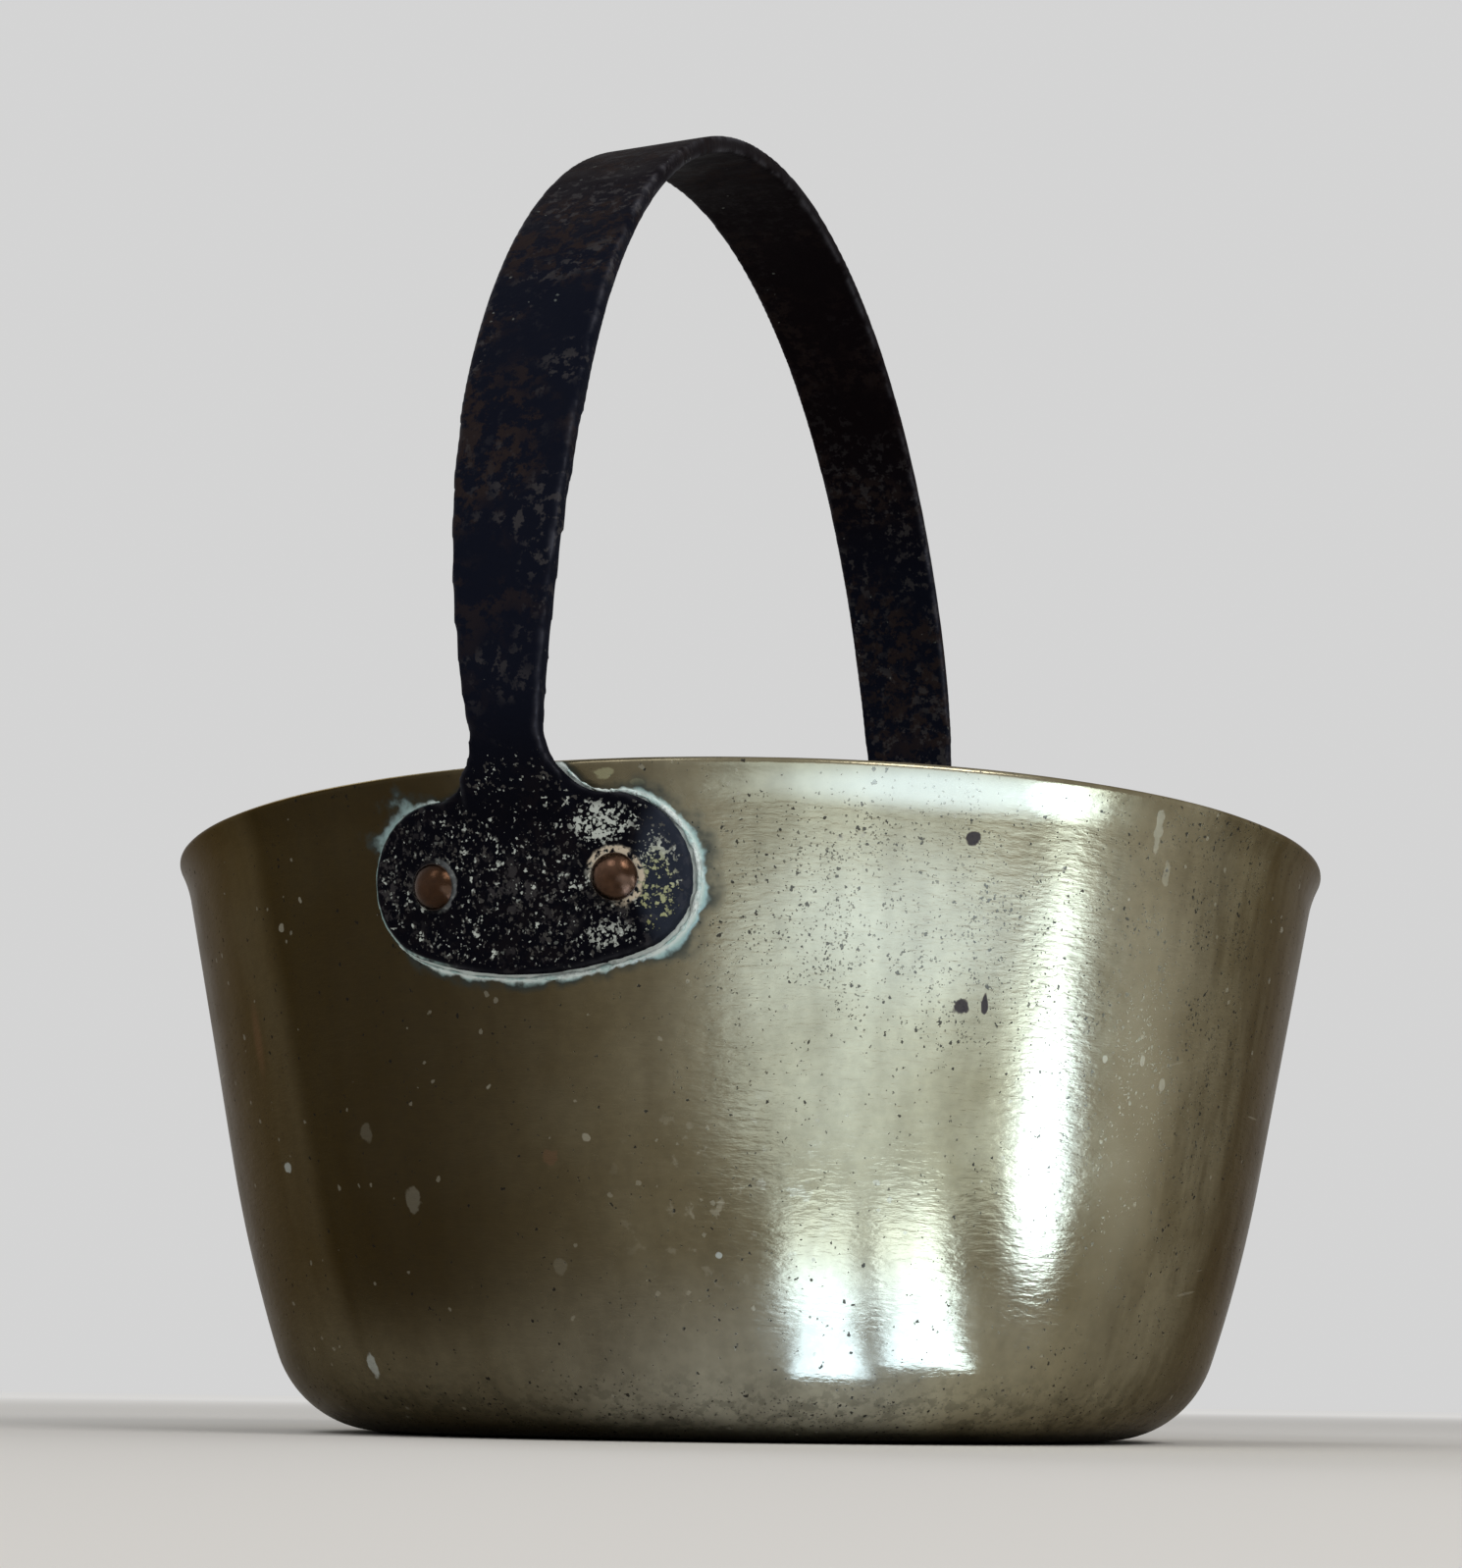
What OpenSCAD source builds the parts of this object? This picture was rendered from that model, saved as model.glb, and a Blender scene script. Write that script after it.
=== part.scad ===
// Jam pan of old brass: a raised pan with a flared lip, one forged iron strap
// handle that arches over it, and four copper rivets through the two palms.
// Millimetres. The origin is the middle of the base, +Z is up, and the handle
// stands in the YZ plane, with its front palm at -Y.

/* [Pan] */
// Outside diameter over the lip
rim_d = 305; // [280:1:340]
// Height from the base to the top of the lip
pan_h = 145; // [130:1:165]
// Thickness of the brass
wall_t = 2.6; // [1.6:0.1:3.6]
// Lean of the straight upper wall away from upright, in degrees
wall_lean = 12.3; // [9:0.1:15]
// Height at which the straight upper wall starts
belly_top = 66; // [50:1:80]
// Radius of the bowed lower wall
belly_r = 360; // [300:5:500]
// Radius of the turn from wall to base
corner_r = 28; // [14:1:34]
// Height over which the lip flares
flare_h = 9; // [6:0.5:13]
// Radius of the lip's flare
flare_r = 34; // [26:1:50]

/* [Handle strap] */
// Rise of the arch's crown above the lip
arch_h = 204; // [180:1:225]
// Angle up from level at which the crown meets the sides, in degrees
crown_join = 40; // [30:1:55]
// Angle below level at which the sides meet the neck bend, in degrees
neck_join = 6; // [2:1:10]
// Radius of the bend above each palm, over the strap
neck_bend_r = 60; // [40:1:80]
// Lean of the strap where it runs into the palm, in degrees
root_lean = 28; // [24:1:32]
// Depth below the lip's top at which the neck bend ends
root_drop = 4.3; // [2:0.1:7]
// Length of the straight root below the neck bend
root_l = 20; // [16:1:24]
// Width of the root where it runs into the palm
root_w = 25; // [20:0.5:32]
// Thickness of the strap
strap_t = 4.7; // [3.5:0.1:6.5]
// Width of the strap over the arch
strap_w = 30.4; // [25:0.2:36]
// Width of the strap at its narrow neck
neck_w = 16.8; // [12:0.2:20]
// Height above the lip at which the strap reaches its full width
full_width_rise = 115; // [90:1:140]

/* [Palms] */
// Width of each palm
palm_w = 76; // [66:1:88]
// Height of each palm's round ends
palm_end_h = 35; // [28:1:38]
// Depth of the palms' centre line below the lip's top
palm_drop = 25; // [22:1:32]
// Radius of the palms' lower edge
palm_belly_r = 80; // [60:1:120]
// Thickness of the palms
palm_t = 3.6; // [2.4:0.1:5]
// Radius of the hollow between neck and palm
neck_fillet = 13; // [8:0.5:16]
// Gap between palm and pan, which verdigris fills
palm_gap = 0.3; // [0.2:0.05:0.6]

/* [Rivets] */
// Distance between the two rivets of a palm
rivet_spacing = 42; // [36:1:48]
// Diameter of a rivet's shank
shank_d = 6.4; // [4.5:0.1:8]
// Diameter of the domed outer head
head_d = 10.8; // [9:0.1:13]
// Height of the domed outer head
head_h = 3.2; // [2:0.1:4.5]
// Diameter of the hammered inner head
inner_head_d = 11.6; // [9:0.1:14]
// Height of the hammered inner head
inner_head_h = 1.7; // [1:0.1:3]
// Clearance on diameter between a shank and its holes
shank_clear = 0.2; // [0.1:0.05:0.6]
// Gap left under each head
head_gap = 0.15; // [0.1:0.05:0.4]

/* [Hidden] */
$fn = 180;

brass = "#8f8150";
black_iron = "#2a282e";
copper = "#8f5c3e";
// How far a cutting shape runs past what it cuts
past = 30;
// How far a curve laps over its neighbour, so that the two cross cleanly where
// they would only just touch
lap = 0.01;

// Unit vector at an angle up from level
function aim(angle) = [cos(angle), sin(angle)];

// The pan's half section. Its points are [radius, height] at mid wall.
half_t = wall_t / 2;
upper_out = aim(-wall_lean);
lip_mid = [rim_d / 2 - half_t, pan_h - half_t];
lip_lean = asin(sin(wall_lean) + flare_h / flare_r);
lip_out = aim(-lip_lean);
flare_start = lip_mid - [flare_r * (cos(wall_lean) - cos(lip_lean)), flare_h];
flare_centre = flare_start + flare_r * upper_out;

// Radius at mid wall for a height on the straight upper wall
function wall_r(z) = flare_start[0] - (flare_start[1] - z) * tan(wall_lean);

belly_start = [wall_r(belly_top), belly_top];
belly_centre = belly_start - belly_r * upper_out;

// The turn into the base runs smoothly into the bowed wall
corner_z = half_t + corner_r;
corner_reach = belly_r - corner_r;
corner_fall = belly_centre[1] - corner_z;
corner_run = sqrt(corner_reach * corner_reach - corner_fall * corner_fall);
corner_centre = [belly_centre[0] + corner_run, corner_z];
corner_out = [corner_run, -corner_fall] / corner_reach;

// The handle's side view. Its points are [reach, height] at the strap's outer
// face, and it is followed up from the palm: root, neck bend, side and crown.
root_out = aim(-root_lean);
root_down = -aim(90 - root_lean);
root_top = [rim_d / 2 + palm_gap + strap_t, pan_h - root_drop];
bend_centre = root_top - neck_bend_r * root_out;
neck_out = aim(-neck_join);
// Angle by which the bend's and the crown's arcs run on into their neighbours
bend_over = 5;
crown_out = aim(crown_join);

// Side and crown are arcs that run smoothly into each other. The crown's
// centre is over the pan's axis and its top at the arch's full height, which
// gives two equations for the two radii.
crown_z = pan_h + arch_h;
side_x = crown_out[0] - neck_out[0];
side_z = crown_out[1] - neck_out[1];
span = bend_centre[0] + neck_bend_r * neck_out[0];
rise = crown_z - bend_centre[1] - neck_bend_r * neck_out[1];
solve = side_x * (1 - crown_out[1]) + crown_out[0] * side_z;
side_r = (crown_out[0] * rise - (1 - crown_out[1]) * span) / solve;
crown_r = (side_x * rise + side_z * span) / solve;
side_centre = bend_centre - (side_r - neck_bend_r) * neck_out;
crown_centre = [0, crown_z - crown_r];

// The handle's front view
palm_z = pan_h - palm_drop;
palm_end_r = palm_end_h / 2;
palm_end_x = palm_w / 2 - palm_end_r;
palm_top = palm_z + palm_end_r;
belly_reach = palm_belly_r - palm_end_r;
belly_rise = sqrt(belly_reach * belly_reach - palm_end_x * palm_end_x);
palm_belly_centre = [0, palm_z + belly_rise];
palm_belly_out = [palm_end_x, -belly_rise] / belly_reach;
// How deep the hollows at the neck dip into the palm's upper edge
neck_dip = 0.4;
neck_z = palm_top + neck_fillet - neck_dip;
fillet_x = neck_w / 2 + neck_fillet;
full_width_z = pan_h + full_width_rise;
width_gain = (strap_w - neck_w) / 2;
width_run = full_width_z - neck_z;
taper_r = (width_run * width_run + width_gain * width_gain) / (2 * width_gain);
// The tongue that is the strap's root ends halfway up the hollows' overlap
// with the taper
tongue_top = neck_z + neck_fillet * width_run / taper_r;

// Each rivet stands square to the wall, on the palms' centre line
rivet_wall_r = wall_r(palm_z);
rivet_turn = asin(rivet_spacing / 2 / rivet_wall_r);
palm_face = half_t + palm_gap + palm_t;
inner_head_sag = inner_head_d * inner_head_d / 8 / rivet_wall_r;
outer_seat = palm_face + head_gap;
inner_seat = -half_t - inner_head_sag - head_gap;

// Half section of all that lies within the wall. The edge is moved outward
// from mid wall by grow.
module bowl_half(grow) {
    base_z = half_t - grow;
    upper_end = belly_start + grow * upper_out;
    flare_end = flare_start + grow * upper_out;
    lip_inner = lip_mid - wall_t * lip_out;
    difference() {
        union() {
            // Straight upper wall, and the lip cut square to its slope
            polygon([
                [0, upper_end[1]],
                upper_end,
                flare_end,
                lip_mid + flare_r / 2 * lip_out,
                lip_inner,
                [0, lip_inner[1]]
            ]);
            // Bowed lower wall
            intersection() {
                translate(belly_centre) circle(belly_r + grow + lap);
                polygon([
                    [0, base_z],
                    [corner_centre[0], base_z],
                    corner_centre,
                    corner_centre + (corner_r + past) * corner_out,
                    flare_end + past * upper_out,
                    flare_end,
                    [0, flare_end[1]]
                ]);
            }
            // Turn into the flat base
            intersection() {
                translate(corner_centre) circle(corner_r + grow + 2 * lap);
                translate([0, base_z]) square(rim_d);
            }
        }
        translate(flare_centre) circle(flare_r - grow + lap);
    }
}

// Places a rivet, or its drill. Facing 0 is the front palm and 180 the back
// one, and side is -1 for left and 1 for right as seen from the front.
module at_rivet(facing, side) {
    turn = facing == 0 ? side * rivet_turn : -side * rivet_turn;
    rotate([0, 0, facing + turn])
    translate([0, -rivet_wall_r, palm_z])
    rotate([90 + wall_lean, 0, 0])
    children();
}

module rivet_holes() {
    for (facing = [0, 180], side = [-1, 1]) {
        at_rivet(facing, side)
        cylinder(d = shank_d + shank_clear, h = 2 * past, center = true);
    }
}

module pan() {
    color(brass)
    difference() {
        rotate_extrude() {
            difference() {
                bowl_half(half_t);
                bowl_half(-half_t);
            }
            translate(lip_mid) circle(half_t + lap);
        }
        rivet_holes();
    }
}

// Side view of all that lies within the strap's arch, moved in by inset
module arch_side(inset) {
    reach = 2 * crown_r;
    crown_edge = aim(crown_join - bend_over);
    // Crown
    intersection() {
        translate(crown_centre) circle(crown_r - inset);
        polygon([
            crown_centre,
            crown_centre + reach * crown_edge,
            crown_centre + [0, reach],
            crown_centre + reach * [-crown_edge[0], crown_edge[1]]
        ]);
    }
    for (half = [0, 1]) {
        mirror([half, 0]) {
            // Side
            intersection() {
                translate(side_centre) circle(side_r - inset - lap);
                polygon([
                    crown_centre,
                    crown_centre + reach * crown_out,
                    bend_centre + reach * neck_out,
                    bend_centre,
                    [-past, bend_centre[1]]
                ]);
            }
            // Bend above the palm
            intersection() {
                translate(bend_centre) circle(neck_bend_r - inset);
                polygon([
                    bend_centre,
                    bend_centre + reach * aim(-root_lean - bend_over),
                    bend_centre + reach * aim(bend_over - neck_join)
                ]);
            }
            // Straight root
            polygon([
                bend_centre,
                bend_centre + (neck_bend_r - inset - lap) * root_out,
                bend_centre + (neck_bend_r - inset - lap) * root_out + root_l * root_down,
                bend_centre + root_l * root_down
            ]);
        }
    }
}

// Neck and palm before the hollows are cut at the neck's sides
module palm_front() {
    translate([-fillet_x, palm_z]) square([2 * fillet_x, neck_z - palm_z]);
    translate([-palm_end_x, palm_z]) square([2 * palm_end_x, palm_end_r]);
    for (side = [-1, 1]) {
        translate([side * palm_end_x, palm_z]) circle(palm_end_r + lap);
    }
    intersection() {
        translate(palm_belly_centre) circle(palm_belly_r);
        polygon([
            [-palm_end_x, palm_top - lap],
            [-palm_end_x, palm_z],
            palm_belly_centre + (palm_belly_r + past) * [-palm_belly_out[0], palm_belly_out[1]],
            palm_belly_centre + (palm_belly_r + past) * palm_belly_out,
            [palm_end_x, palm_z],
            [palm_end_x, palm_top - lap]
        ]);
    }
}

// Strap with its root as a tongue on the palm, widening on two large arcs
module strap_front() {
    translate([-root_w / 2, palm_z]) square([root_w, tongue_top - palm_z]);
    intersection() {
        translate([strap_w / 2 + lap - taper_r, full_width_z]) circle(taper_r);
        translate([taper_r - strap_w / 2 - lap, full_width_z]) circle(taper_r);
        translate([-strap_w, neck_z]) square([2 * strap_w, width_run + past]);
    }
    translate([-strap_w / 2, full_width_z])
    square([strap_w, crown_z + past - full_width_z]);
}

// Runs a front view right through the pan, from palm to palm
module through_pan() {
    rotate([90, 0, 0])
    linear_extrude(2 * rim_d, center = true)
    children();
}

// One forging: the strap, and two palms that lie saddled on the wall
module handle() {
    color(black_iron)
    difference() {
        union() {
            intersection() {
                rotate([90, 0, 90])
                linear_extrude(2 * strap_w, center = true)
                difference() {
                    arch_side(0);
                    arch_side(strap_t);
                }
                through_pan() strap_front();
            }
            intersection() {
                rotate_extrude() bowl_half(palm_face);
                through_pan() palm_front();
            }
        }
        // Hollows at the neck's sides
        through_pan() {
            for (side = [-1, 1]) {
                translate([side * fillet_x, neck_z]) circle(neck_fillet);
            }
        }
        // The pan and the gap around it
        rotate_extrude() {
            bowl_half(half_t + palm_gap);
            translate(lip_mid) circle(half_t + palm_gap + lap);
        }
        rivet_holes();
    }
}

// Half section of a head's dome, standing on its seat
module dome_half(diameter, height) {
    dome_r = (diameter * diameter / 4 + height * height) / (2 * height);
    intersection() {
        translate([0, height - dome_r]) circle(dome_r);
        square([diameter, height]);
    }
}

// One rivet on its own axis, with mid wall at zero
module rivet() {
    color(copper)
    rotate_extrude() {
        translate([0, inner_seat]) square([shank_d / 2, outer_seat - inner_seat]);
        translate([0, outer_seat]) dome_half(head_d, head_h);
        translate([0, inner_seat]) mirror([0, 1]) dome_half(inner_head_d, inner_head_h);
    }
}

pan();
handle();
at_rivet(0, -1) rivet();  // rivet_front_left
at_rivet(0, 1) rivet();  // rivet_front_right
at_rivet(180, -1) rivet();  // rivet_back_left
at_rivet(180, 1) rivet();  // rivet_back_right
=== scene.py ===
import math
from contextlib import contextmanager
from types import SimpleNamespace

import bmesh
import bpy
from mathutils import Matrix, Vector, noise


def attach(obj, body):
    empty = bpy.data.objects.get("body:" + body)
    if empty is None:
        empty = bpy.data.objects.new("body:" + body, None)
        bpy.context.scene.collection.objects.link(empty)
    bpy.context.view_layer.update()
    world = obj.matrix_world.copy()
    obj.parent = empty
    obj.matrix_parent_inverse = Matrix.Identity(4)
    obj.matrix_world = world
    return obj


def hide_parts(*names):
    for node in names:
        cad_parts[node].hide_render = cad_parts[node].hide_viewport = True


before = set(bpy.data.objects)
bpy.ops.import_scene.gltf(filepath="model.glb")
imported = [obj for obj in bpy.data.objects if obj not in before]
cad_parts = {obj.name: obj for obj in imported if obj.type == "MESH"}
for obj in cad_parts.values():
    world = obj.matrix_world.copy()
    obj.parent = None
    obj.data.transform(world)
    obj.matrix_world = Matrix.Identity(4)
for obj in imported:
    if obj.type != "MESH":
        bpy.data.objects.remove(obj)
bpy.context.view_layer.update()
print("frame loaded:", sorted(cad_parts))

mm = 0.001


def newObject(name, data):
    obj = bpy.data.objects.new(name, data)
    bpy.context.scene.collection.objects.link(obj)
    return obj


# Camera

view = {
    "distance": 701.5,        # mm from the pan's axis
    "height": 9.15,           # mm above the floor
    "turn": 19.6,             # degrees to the right of the handle's plane
    "pitch": 13.25,
    "yaw": -0.43,
    "roll": 0.69,
    "focalLength": 2663.4,    # in the photo's pixels
    "photoWidth": 1490,
    "sensor": 36.0,           # mm
    "clip": (0.005, 50.0),    # metres
}


def swung(a, b, degrees):
    # Two square directions, the first swung towards the second
    turn = math.radians(degrees)
    return math.cos(turn) * a + math.sin(turn) * b, math.cos(turn) * b - math.sin(turn) * a


def placeCamera():
    up = Vector((0, 0, 1))
    ahead, left = swung(Vector((0, 1, 0)), Vector((-1, 0, 0)), view["turn"])
    forward, upward = swung(ahead, up, view["pitch"])
    forward, right = swung(forward, -left, view["yaw"])
    right, upward = swung(right, upward, view["roll"])
    place = (-view["distance"] * ahead + view["height"] * up) * mm
    data = bpy.data.cameras.new("camera")
    data.sensor_fit = "HORIZONTAL"
    data.sensor_width = view["sensor"]
    data.lens = view["focalLength"] / view["photoWidth"] * view["sensor"]
    data.clip_start, data.clip_end = view["clip"]
    camera = newObject("camera", data)
    facing = Matrix((right, upward, -forward)).transposed()
    camera.matrix_world = Matrix.Translation(place) @ facing.to_4x4()
    bpy.context.scene.camera = camera


placeCamera()
print("camera placed")


# Small helpers for laying out nodes. A socket knows its tree, so most of them aren't told it.

def addNode(tree, kind, **settings):
    node = tree.nodes.new(kind)
    for key, value in settings.items():
        setattr(node, key, value)
    return node


def feed(socket, value):
    if isinstance(value, bpy.types.NodeSocket):
        socket.id_data.links.new(value, socket)
    elif value is not None:
        socket.default_value = value


def nodeWith(kind, values, **settings):
    # Adds a node beside the first socket among its values, a list in order or a dictionary by name
    pairs = list(values.items() if isinstance(values, dict) else enumerate(values))
    tree = next(value.id_data for key, value in pairs if isinstance(value, bpy.types.NodeSocket))
    node = addNode(tree, kind, **settings)
    for key, value in pairs:
        feed(node.inputs[key], value)
    return node


def calc(operation, *values, clamp=False):
    return nodeWith("ShaderNodeMath", values, operation=operation, use_clamp=clamp).outputs[0]


def times(first, *others):
    for value in others:
        first = calc("MULTIPLY", first, value)
    return first


def plus(first, *others):
    for value in others:
        first = calc("ADD", first, value)
    return first


def minus(a, b):
    return calc("SUBTRACT", a, b)


def larger(first, *others):
    for value in others:
        first = calc("MAXIMUM", first, value)
    return first


def over(mask, more):
    # Two masks laid over each other, never above 1
    return plus(mask, times(more, minus(1.0, mask)))


def distance(a, b):
    return calc("SQRT", plus(times(a, a), times(b, b)))


def remap(value, low, high, toLow=0.0, toHigh=1.0):
    return nodeWith("ShaderNodeMapRange", (value, low, high, toLow, toHigh),
                    clamp=True, interpolation_type="SMOOTHSTEP").outputs["Result"]


def blendColour(factor, a, b):
    a, b = ((*colour, 1) if isinstance(colour, tuple) else colour for colour in (a, b))
    return nodeWith("ShaderNodeMix", {0: factor, 6: a, 7: b}, data_type="RGBA", clamp_factor=True).outputs[2]


def blendValue(factor, a, b):
    return nodeWith("ShaderNodeMix", {0: factor, 2: a, 3: b}, data_type="FLOAT", clamp_factor=True).outputs[0]


def splitPoint(point):
    return nodeWith("ShaderNodeSeparateXYZ", [point]).outputs[:3]


def joinPoint(x, y, z):
    return nodeWith("ShaderNodeCombineXYZ", (x, y, z)).outputs[0]


def noiseAt(point, scale, detail, rough=0.5, seed=None):
    values = {"Vector": point, "Scale": scale, "Detail": detail, "Roughness": rough}
    if seed is not None:
        values["W"] = seed
    return nodeWith("ShaderNodeTexNoise", values, noise_dimensions="3D" if seed is None else "4D").outputs[0]


def newTree(name, kind, inputs, outputs):
    # Inputs and outputs go by name, with a number as default or else the kind of their socket
    tree = bpy.data.node_groups.new(name, kind)
    for way, sockets in (("INPUT", inputs), ("OUTPUT", outputs)):
        for label, given in sockets.items():
            word = given if isinstance(given, str) else type(given).__name__.capitalize()
            socket = tree.interface.new_socket(name=label, in_out=way, socket_type="NodeSocket" + word)
            if word != given:
                socket.default_value = given
    return tree, addNode(tree, "NodeGroupInput").outputs, addNode(tree, "NodeGroupOutput").inputs


def useGroup(group, **values):
    return nodeWith("ShaderNodeGroup", values, node_tree=group).outputs


def shifted(given):
    # Moves a pattern by its seed, so that two of the same kind don't line up
    move = joinPoint(*(times(given["Seed"], share) for share in (0.37, 0.19, 0.53)))
    return nodeWith("ShaderNodeVectorMath", (given["Point"], move), operation="ADD").outputs[0]


def makeMottle():
    # A cloudy mask between 0 and 1. Size is in metres, and Low and High set its edge.
    group, given, put = newTree("mottle", "ShaderNodeTree", {
        "Point": "Vector", "Size": 0.03, "Low": 0.4, "High": 0.6, "Seed": 0.0, "Detail": 4.0, "Rough": 0.6,
    }, {"Mask": "Float"})
    cloudy = noiseAt(shifted(given), calc("DIVIDE", 1.0, given["Size"]), given["Detail"], given["Rough"])
    feed(put["Mask"], remap(cloudy, given["Low"], given["High"]))
    return group


def makeSpecks():
    # Small ragged dots, one at most in each cell. Share is the part of the cells that have one.
    group, given, put = newTree("specks", "ShaderNodeTree", {
        "Point": "Vector", "Size": 0.001, "Spread": 0.35, "Seed": 0.0, "Ragged": 0.9, "Share": 0.3,
    }, {"Mask": "Float"})
    point, scale = shifted(given), calc("DIVIDE", 1.0, given["Size"])
    wobble = noiseAt(point, times(scale, 1.9), 2.0)
    cells = nodeWith("ShaderNodeTexVoronoi", {"Vector": point, "Scale": scale}).outputs
    red, green = nodeWith("ShaderNodeSeparateColor", [cells["Color"]]).outputs[:2]
    reach = times(given["Spread"], plus(green, 0.35))
    near = plus(cells["Distance"], times(minus(wobble, 0.5), given["Ragged"]))
    dot = remap(near, times(reach, 0.75), reach, 1.0, 0.0)
    feed(put["Mask"], times(dot, calc("LESS_THAN", red, given["Share"])))
    return group


def makePlacedMark():
    # One stain at a place on the unrolled wall, with an uneven edge
    group, given, put = newTree("placedMark", "ShaderNodeTree", {
        "Around": 0.0, "Height": 0.0, "Uneven": 0.5, "At Around": 0.0, "At Height": 100.0,
        "Half Width": 4.0, "Half Height": 4.0, "Soft": 0.3,
    }, {"Mask": "Float"})
    aside = calc("DIVIDE", minus(given["Around"], given["At Around"]), given["Half Width"])
    above = calc("DIVIDE", minus(given["Height"], given["At Height"]), given["Half Height"])
    reach = plus(distance(aside, above), times(minus(given["Uneven"], 0.5), 1.6))
    feed(put["Mask"], remap(reach, minus(1.0, given["Soft"]), 1.0, 1.0, 0.0))
    return group


# Outline of a palm as seen square from the front, in millimetres
palm = {
    "endX": 20.5,             # middle of the round ends
    "height": 120.0,
    "endRadius": 17.5,
    "bellyRadius": 80.0,
    "bellyZ": 179.04,
    "filletX": 21.4,          # middle of the hollows at the neck
    "filletZ": 150.1,
    "filletRadius": 13.0,
    "rivetX": 21.7,           # middle of the rivets' heads, on the palm's face
    "rivetZ": 118.9,
}


def makePalmField():
    # Distance in mm from the palm's edge (below zero on the palm) and from its rivets.
    # Across is to the right as seen from outside, so the back palm matches the front one.
    group, given, put = newTree("palmField", "ShaderNodeTree", {"Point": "Vector"}, {
        "Edge": "Float", "Rivet Left": "Float", "Rivet Right": "Float", "Across": "Float", "Height": "Float",
    })
    x, y, z = splitPoint(given["Point"])
    x = times(x, -1000.0, calc("SIGN", y))
    z = times(z, 1000.0)
    side = calc("ABSOLUTE", x)

    def reach(px, pz, fromX):
        return distance(minus(fromX, px), minus(z, pz))

    oval = minus(reach(0.0, palm["height"], larger(minus(side, palm["endX"]), 0.0)), palm["endRadius"])
    belly = minus(reach(0.0, palm["bellyZ"], x), palm["bellyRadius"])
    slope = palm["endX"] / (palm["bellyZ"] - palm["height"])
    under = calc("LESS_THAN", side, times(minus(palm["bellyZ"], z), slope))
    edge = blendValue(times(under, calc("LESS_THAN", z, palm["height"])), oval, belly)
    hollow = minus(palm["filletRadius"], reach(palm["filletX"], palm["filletZ"], side))
    onNeck = times(calc("LESS_THAN", side, palm["filletX"]),
                   calc("GREATER_THAN", z, palm["filletZ"] - palm["filletRadius"]))
    feed(put["Edge"], blendValue(onNeck, edge, hollow))
    feed(put["Rivet Left"], reach(-palm["rivetX"], palm["rivetZ"], x))
    feed(put["Rivet Right"], reach(palm["rivetX"], palm["rivetZ"], x))
    feed(put["Across"], x)
    feed(put["Height"], z)
    return group


mottle, specks, palmField, placedMark = makeMottle(), makeSpecks(), makePalmField(), makePlacedMark()


def newMaterial(name):
    material = bpy.data.materials.new(name)
    material.use_nodes = True
    tree = material.node_tree
    tree.nodes.clear()
    shader = addNode(tree, "ShaderNodeBsdfPrincipled")
    feed(addNode(tree, "ShaderNodeOutputMaterial").inputs[0], shader.outputs[0])
    return material, addNode(tree, "ShaderNodeTexCoord").outputs["Object"], shader.inputs


def attribute(beside, name):
    return addNode(beside.id_data, "ShaderNodeAttribute", attribute_name=name).outputs["Fac"]


def bump(height, depth, normal=None):
    values = {"Strength": 1.0, "Distance": depth, "Height": height, "Normal": normal}
    return nodeWith("ShaderNodeBump", values).outputs[0]


# A look holds its colours and tables of numbers, which these four read by name

def cloud(look, name, point):
    values = zip(("Size", "Low", "High", "Seed", "Detail", "Rough"), look["clouds"][name])
    return useGroup(mottle, Point=point, **dict(values))["Mask"]


def dots(look, name, point, share=None):
    values = zip(("Size", "Spread", "Seed", "Ragged", "Share"), (*look["dots"][name], share)[:5])
    return useGroup(specks, Point=point, **dict(values))["Mask"]


def zone(look, name, value):
    return remap(value, *look["zones"][name])


def painted(look, colour, *layers):
    # Lays colours of the look over each other, each through its own mask
    for mask, name in layers:
        colour = blendColour(mask, colour, look[name])
    return colour


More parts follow.
